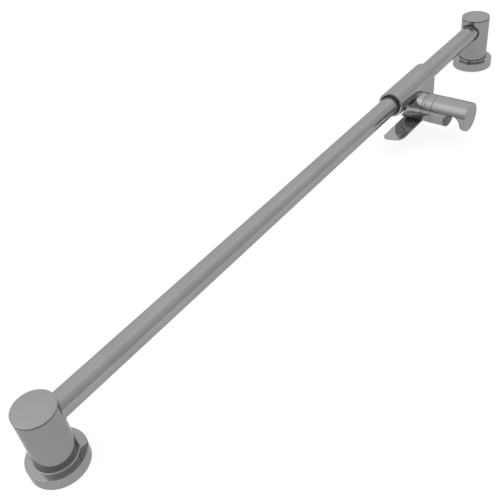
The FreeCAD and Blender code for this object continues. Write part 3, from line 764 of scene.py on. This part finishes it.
class SLIDERAIL_OT_holder(bpy.types.Operator):
    """Make the handset holder, its socket's liner and the screw inside it"""
    bl_idname = "slide_rail.holder"
    bl_label = "Handset Holder"

    def execute(self, context):
        self.holder()
        self.liner()
        self.screw()
        return {"FINISHED"}

    def socket_form(self, shrink):
        """The tapered room of the socket, open towards the wall."""
        size = sizes()
        low, high = size.cone_low - shrink, size.cone_high - shrink
        centre = Vector((SLIDER_X, -size.cone_place, HUB_HEIGHT - size.cone_drop))
        start = centre - ALONG_RAIL * HUB_RADIUS
        # The cutter reaches a tenth of the holder's width past each side, and its taper goes on there
        past, grow = 0.2 * HUB_RADIUS, (high - low) * 0.1
        cone = rod(low - grow, 2.4 * HUB_RADIUS, start - ALONG_RAIL * past, ALONG_RAIL,
                   far_radius=high + grow)
        first, last = start.x - past, start.x + 2.2 * HUB_RADIUS
        mouth = plate([((first, centre.y - low + grow, centre.z), 0),
                       ((last, centre.y - high - grow, centre.z), 0),
                       ((last, centre.y + high + grow, centre.z), 0),
                       ((first, centre.y + low - grow, centre.z), 0)],
                      Vector((0, 0, -3 * HUB_RADIUS)))
        return combine(solid(cone), "UNION", mouth)

    def holder(self):
        size = sizes()
        low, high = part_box("handset_holder")
        start, end = -high.y, -low.y
        groove_gap, mouth_edge = 0.3 * MM, 0.35 * MM
        groove = half("friction_ring").z + groove_gap
        groove_floor = -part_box("friction_ring")[0].y + TURN_GAP
        floor = start + size.holder_wall
        made = solid(turned([(size.pivot_bore, groove_floor, 0), (groove, groove_floor, 0),
                             (groove, start, 0), (HUB_RADIUS, start, size.collar_edge),
                             (HUB_RADIUS, end, size.holder_edge), (0, end, 0), (0, floor, 0),
                             (size.pivot_bore, floor, 0)], HUB_CENTRE, ALONG_HUB))
        recess = rod(size.screw_room, size.cone_place - floor, HUB_CENTRE + ALONG_HUB * floor,
                     ALONG_HUB)
        combine(made, "DIFFERENCE", recess, self.socket_form(0))
        finished(softened(made, mouth_edge), "handset_holder_plated", "holder", "chrome",
                 "handset_holder")

    def liner(self):
        inset, end = 0.5 * MM, -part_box("handset_holder")[0].y - MM
        made = self.socket_form(PRESS_GAP)
        combine(made, "INTERSECT", rod(HUB_RADIUS - inset, end, HUB_CENTRE, ALONG_HUB))
        combine(made, "DIFFERENCE", self.socket_form(sizes().socket_wall))
        finished(softened(made, FINE_EDGE), "socket_liner_moulded", "holder", "dark_liner",
                 "socket_liner")

    def screw(self):
        low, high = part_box("holder_screw")
        shank, head, head_height = 2.5 * MM, half("holder_screw").z, 2.8 * MM
        head_edge, hex_edge = 0.9 * MM, 0.12 * MM
        tip, seat, end = -high.y, -low.y - head_height, -low.y
        made = solid(turned([(0, tip, 0), (shank, tip, SOFT_EDGE), (shank, seat, 0),
                             (head, seat, FINE_EDGE), (head, end, head_edge), (0, end, 0)],
                            HUB_CENTRE, ALONG_HUB, closed=False))
        hex_radius, hex_depth = 3 * MM, 1.8 * MM
        combine(made, "DIFFERENCE",
                hexagon(hex_radius, HUB_CENTRE + ALONG_HUB * (end - hex_depth), ALONG_HUB))
        finished(softened(made, hex_edge), "holder_screw_hex", "slider", "steel", "holder_screw")


# Stage

FLOOR_RADIUS = 8
FLOOR_DROP = 0.4 * MM
SENSOR_WIDTH = 36
CLIP_START = 0.01

# The studio's softboxes and dark flags: their direction, the cosines that they start and peak at,
# and what they add
SOFT_SPOTS = (
    ((-0.478, 0.397, 0.783), 0.88, 0.99, 0.62),
    ((-0.1, 0.5, 0.86), 0.89, 0.97, 0.15),
    ((-0.997, 0, 0.08), 0.78, 0.98, -0.2),
    ((0.2, -0.97, 0.12), 0.5, 0.97, -0.06),
)

# The strip light that hangs along the rail: its near edge, brightest line and far edge across the
# studio, the heights that it fades in between, and what it adds
STRIP_ACROSS = (-0.5, -0.15, 0.22)
STRIP_HEIGHTS = (0.3, 0.7)
STRIP_LEVEL = 0.16


class SLIDERAIL_OT_stage(bpy.types.Operator):
    """Lay the floor, hang the soft lights and set the camera"""
    bl_idname = "slide_rail.stage"
    bl_label = "Stage"

    def execute(self, context):
        look = context.scene.slide_rail_stage
        context.scene.view_settings.view_transform = "Standard"
        self.floor(look)
        self.sky(context.scene, look)
        lens = bpy.data.cameras.new("photo_camera")
        lens.lens, lens.sensor_width, lens.clip_start = look.camera_lens, SENSOR_WIDTH, CLIP_START
        camera = bpy.data.objects.new("photo_camera", lens)
        camera.location, camera.rotation_euler = look.camera_place, Euler(look.camera_turn)
        context.scene.collection.objects.link(camera)
        context.scene.camera = camera
        return {"FINISHED"}

    def floor(self, look):
        bm = bmesh.new()
        bmesh.ops.create_circle(bm, cap_ends=True, segments=96, radius=FLOOR_RADIUS,
                                matrix=Matrix.Translation((0, 0, -FLOOR_DROP)))
        made = solid(bm, "floor")
        material, nodes, links = node_material("pale_floor")
        ray = nodes.new("ShaderNodeLightPath").outputs
        seen = math_of(nodes, links, "MAXIMUM", ray["Is Camera Ray"], ray["Is Glossy Ray"])
        seen = math_of(nodes, links, "MAXIMUM", seen, ray["Is Transmission Ray"])
        strength = math_of(nodes, links, "MULTIPLY", seen, look.floor_glow)
        diffuse = nodes.new("ShaderNodeBsdfDiffuse")
        matt = [channel * look.floor_matt for channel in look.paper]
        diffuse.inputs["Color"].default_value = (*matt, 1)
        glow = nodes.new("ShaderNodeEmission")
        glow.inputs["Color"].default_value = (*look.paper, 1)
        links.new(strength, glow.inputs["Strength"])
        both = nodes.new("ShaderNodeAddShader")
        links.new(diffuse.outputs["BSDF"], both.inputs[0])
        links.new(glow.outputs["Emission"], both.inputs[1])
        output = nodes.new("ShaderNodeOutputMaterial")
        links.new(both.outputs["Shader"], output.inputs["Surface"])
        made.data.materials.append(material)

    def sky(self, scene, look):
        world = bpy.data.worlds.new("studio")
        scene.world = world
        world.use_nodes = True
        nodes, links = world.node_tree.nodes, world.node_tree.links
        nodes.clear()
        toward = nodes.new("ShaderNodeTexCoord").outputs["Generated"]
        slope = along_of(nodes, links, toward, look.sky_slope)
        level = math_of(nodes, links, "ADD", slope, look.sky_level)
        for direction, begin, peak, extra in SOFT_SPOTS:
            cosine = along_of(nodes, links, toward, direction)
            spot = step_of(nodes, links, cosine, begin, peak, 0, extra)
            level = math_of(nodes, links, "ADD", level, spot)
        near, brightest, far = STRIP_ACROSS
        across = along_of(nodes, links, toward, -ALONG_HUB)
        height = along_of(nodes, links, toward, OFF_WALL)
        strip = math_of(nodes, links, "MULTIPLY",
                        step_of(nodes, links, across, near, brightest, 0, STRIP_LEVEL),
                        step_of(nodes, links, across, brightest, far, 1, 0))
        strip = math_of(nodes, links, "MULTIPLY", strip,
                        step_of(nodes, links, height, *STRIP_HEIGHTS, 0, 1))
        level = math_of(nodes, links, "ADD", level, strip)
        back = nodes.new("ShaderNodeBackground")
        back.inputs["Color"].default_value = (*look.sky, 1)
        links.new(level, back.inputs["Strength"])
        output = nodes.new("ShaderNodeOutputWorld")
        links.new(back.outputs["Background"], output.inputs["Surface"])


STEPS = (SLIDERAIL_OT_finishes, SLIDERAIL_OT_rail, SLIDERAIL_OT_brackets, SLIDERAIL_OT_slider,
         SLIDERAIL_OT_liners, SLIDERAIL_OT_lever, SLIDERAIL_OT_collar, SLIDERAIL_OT_holder,
         SLIDERAIL_OT_stage)


class SLIDERAIL_PT_panel(bpy.types.Panel):
    """Lists the steps that dress the slide rail"""
    bl_idname = "SLIDERAIL_PT_panel"
    bl_label = "Slide Rail"
    bl_space_type = "VIEW_3D"
    bl_region_type = "UI"
    bl_category = "Slide Rail"

    def draw(self, context):
        for step in STEPS:
            self.layout.operator(step.bl_idname)


CLASSES = (SlideRailSizes, SlideRailFinish, SlideRailStage, *STEPS, SLIDERAIL_PT_panel)


def register():
    for each in CLASSES:
        bpy.utils.register_class(each)
    bpy.types.Scene.slide_rail_sizes = PointerProperty(type=SlideRailSizes)
    bpy.types.Scene.slide_rail_finish = PointerProperty(type=SlideRailFinish)
    bpy.types.Scene.slide_rail_stage = PointerProperty(type=SlideRailStage)


def unregister():
    del bpy.types.Scene.slide_rail_stage
    del bpy.types.Scene.slide_rail_finish
    del bpy.types.Scene.slide_rail_sizes
    for each in reversed(CLASSES):
        bpy.utils.unregister_class(each)


def main():
    register()
    bpy.ops.slide_rail.finishes()
    bpy.ops.slide_rail.rail()
    bpy.ops.slide_rail.brackets()
    bpy.ops.slide_rail.slider()
    bpy.ops.slide_rail.liners()
    bpy.ops.slide_rail.lever()
    bpy.ops.slide_rail.collar()
    bpy.ops.slide_rail.holder()
    bpy.ops.slide_rail.stage()


if __name__ == "__main__":
    main()
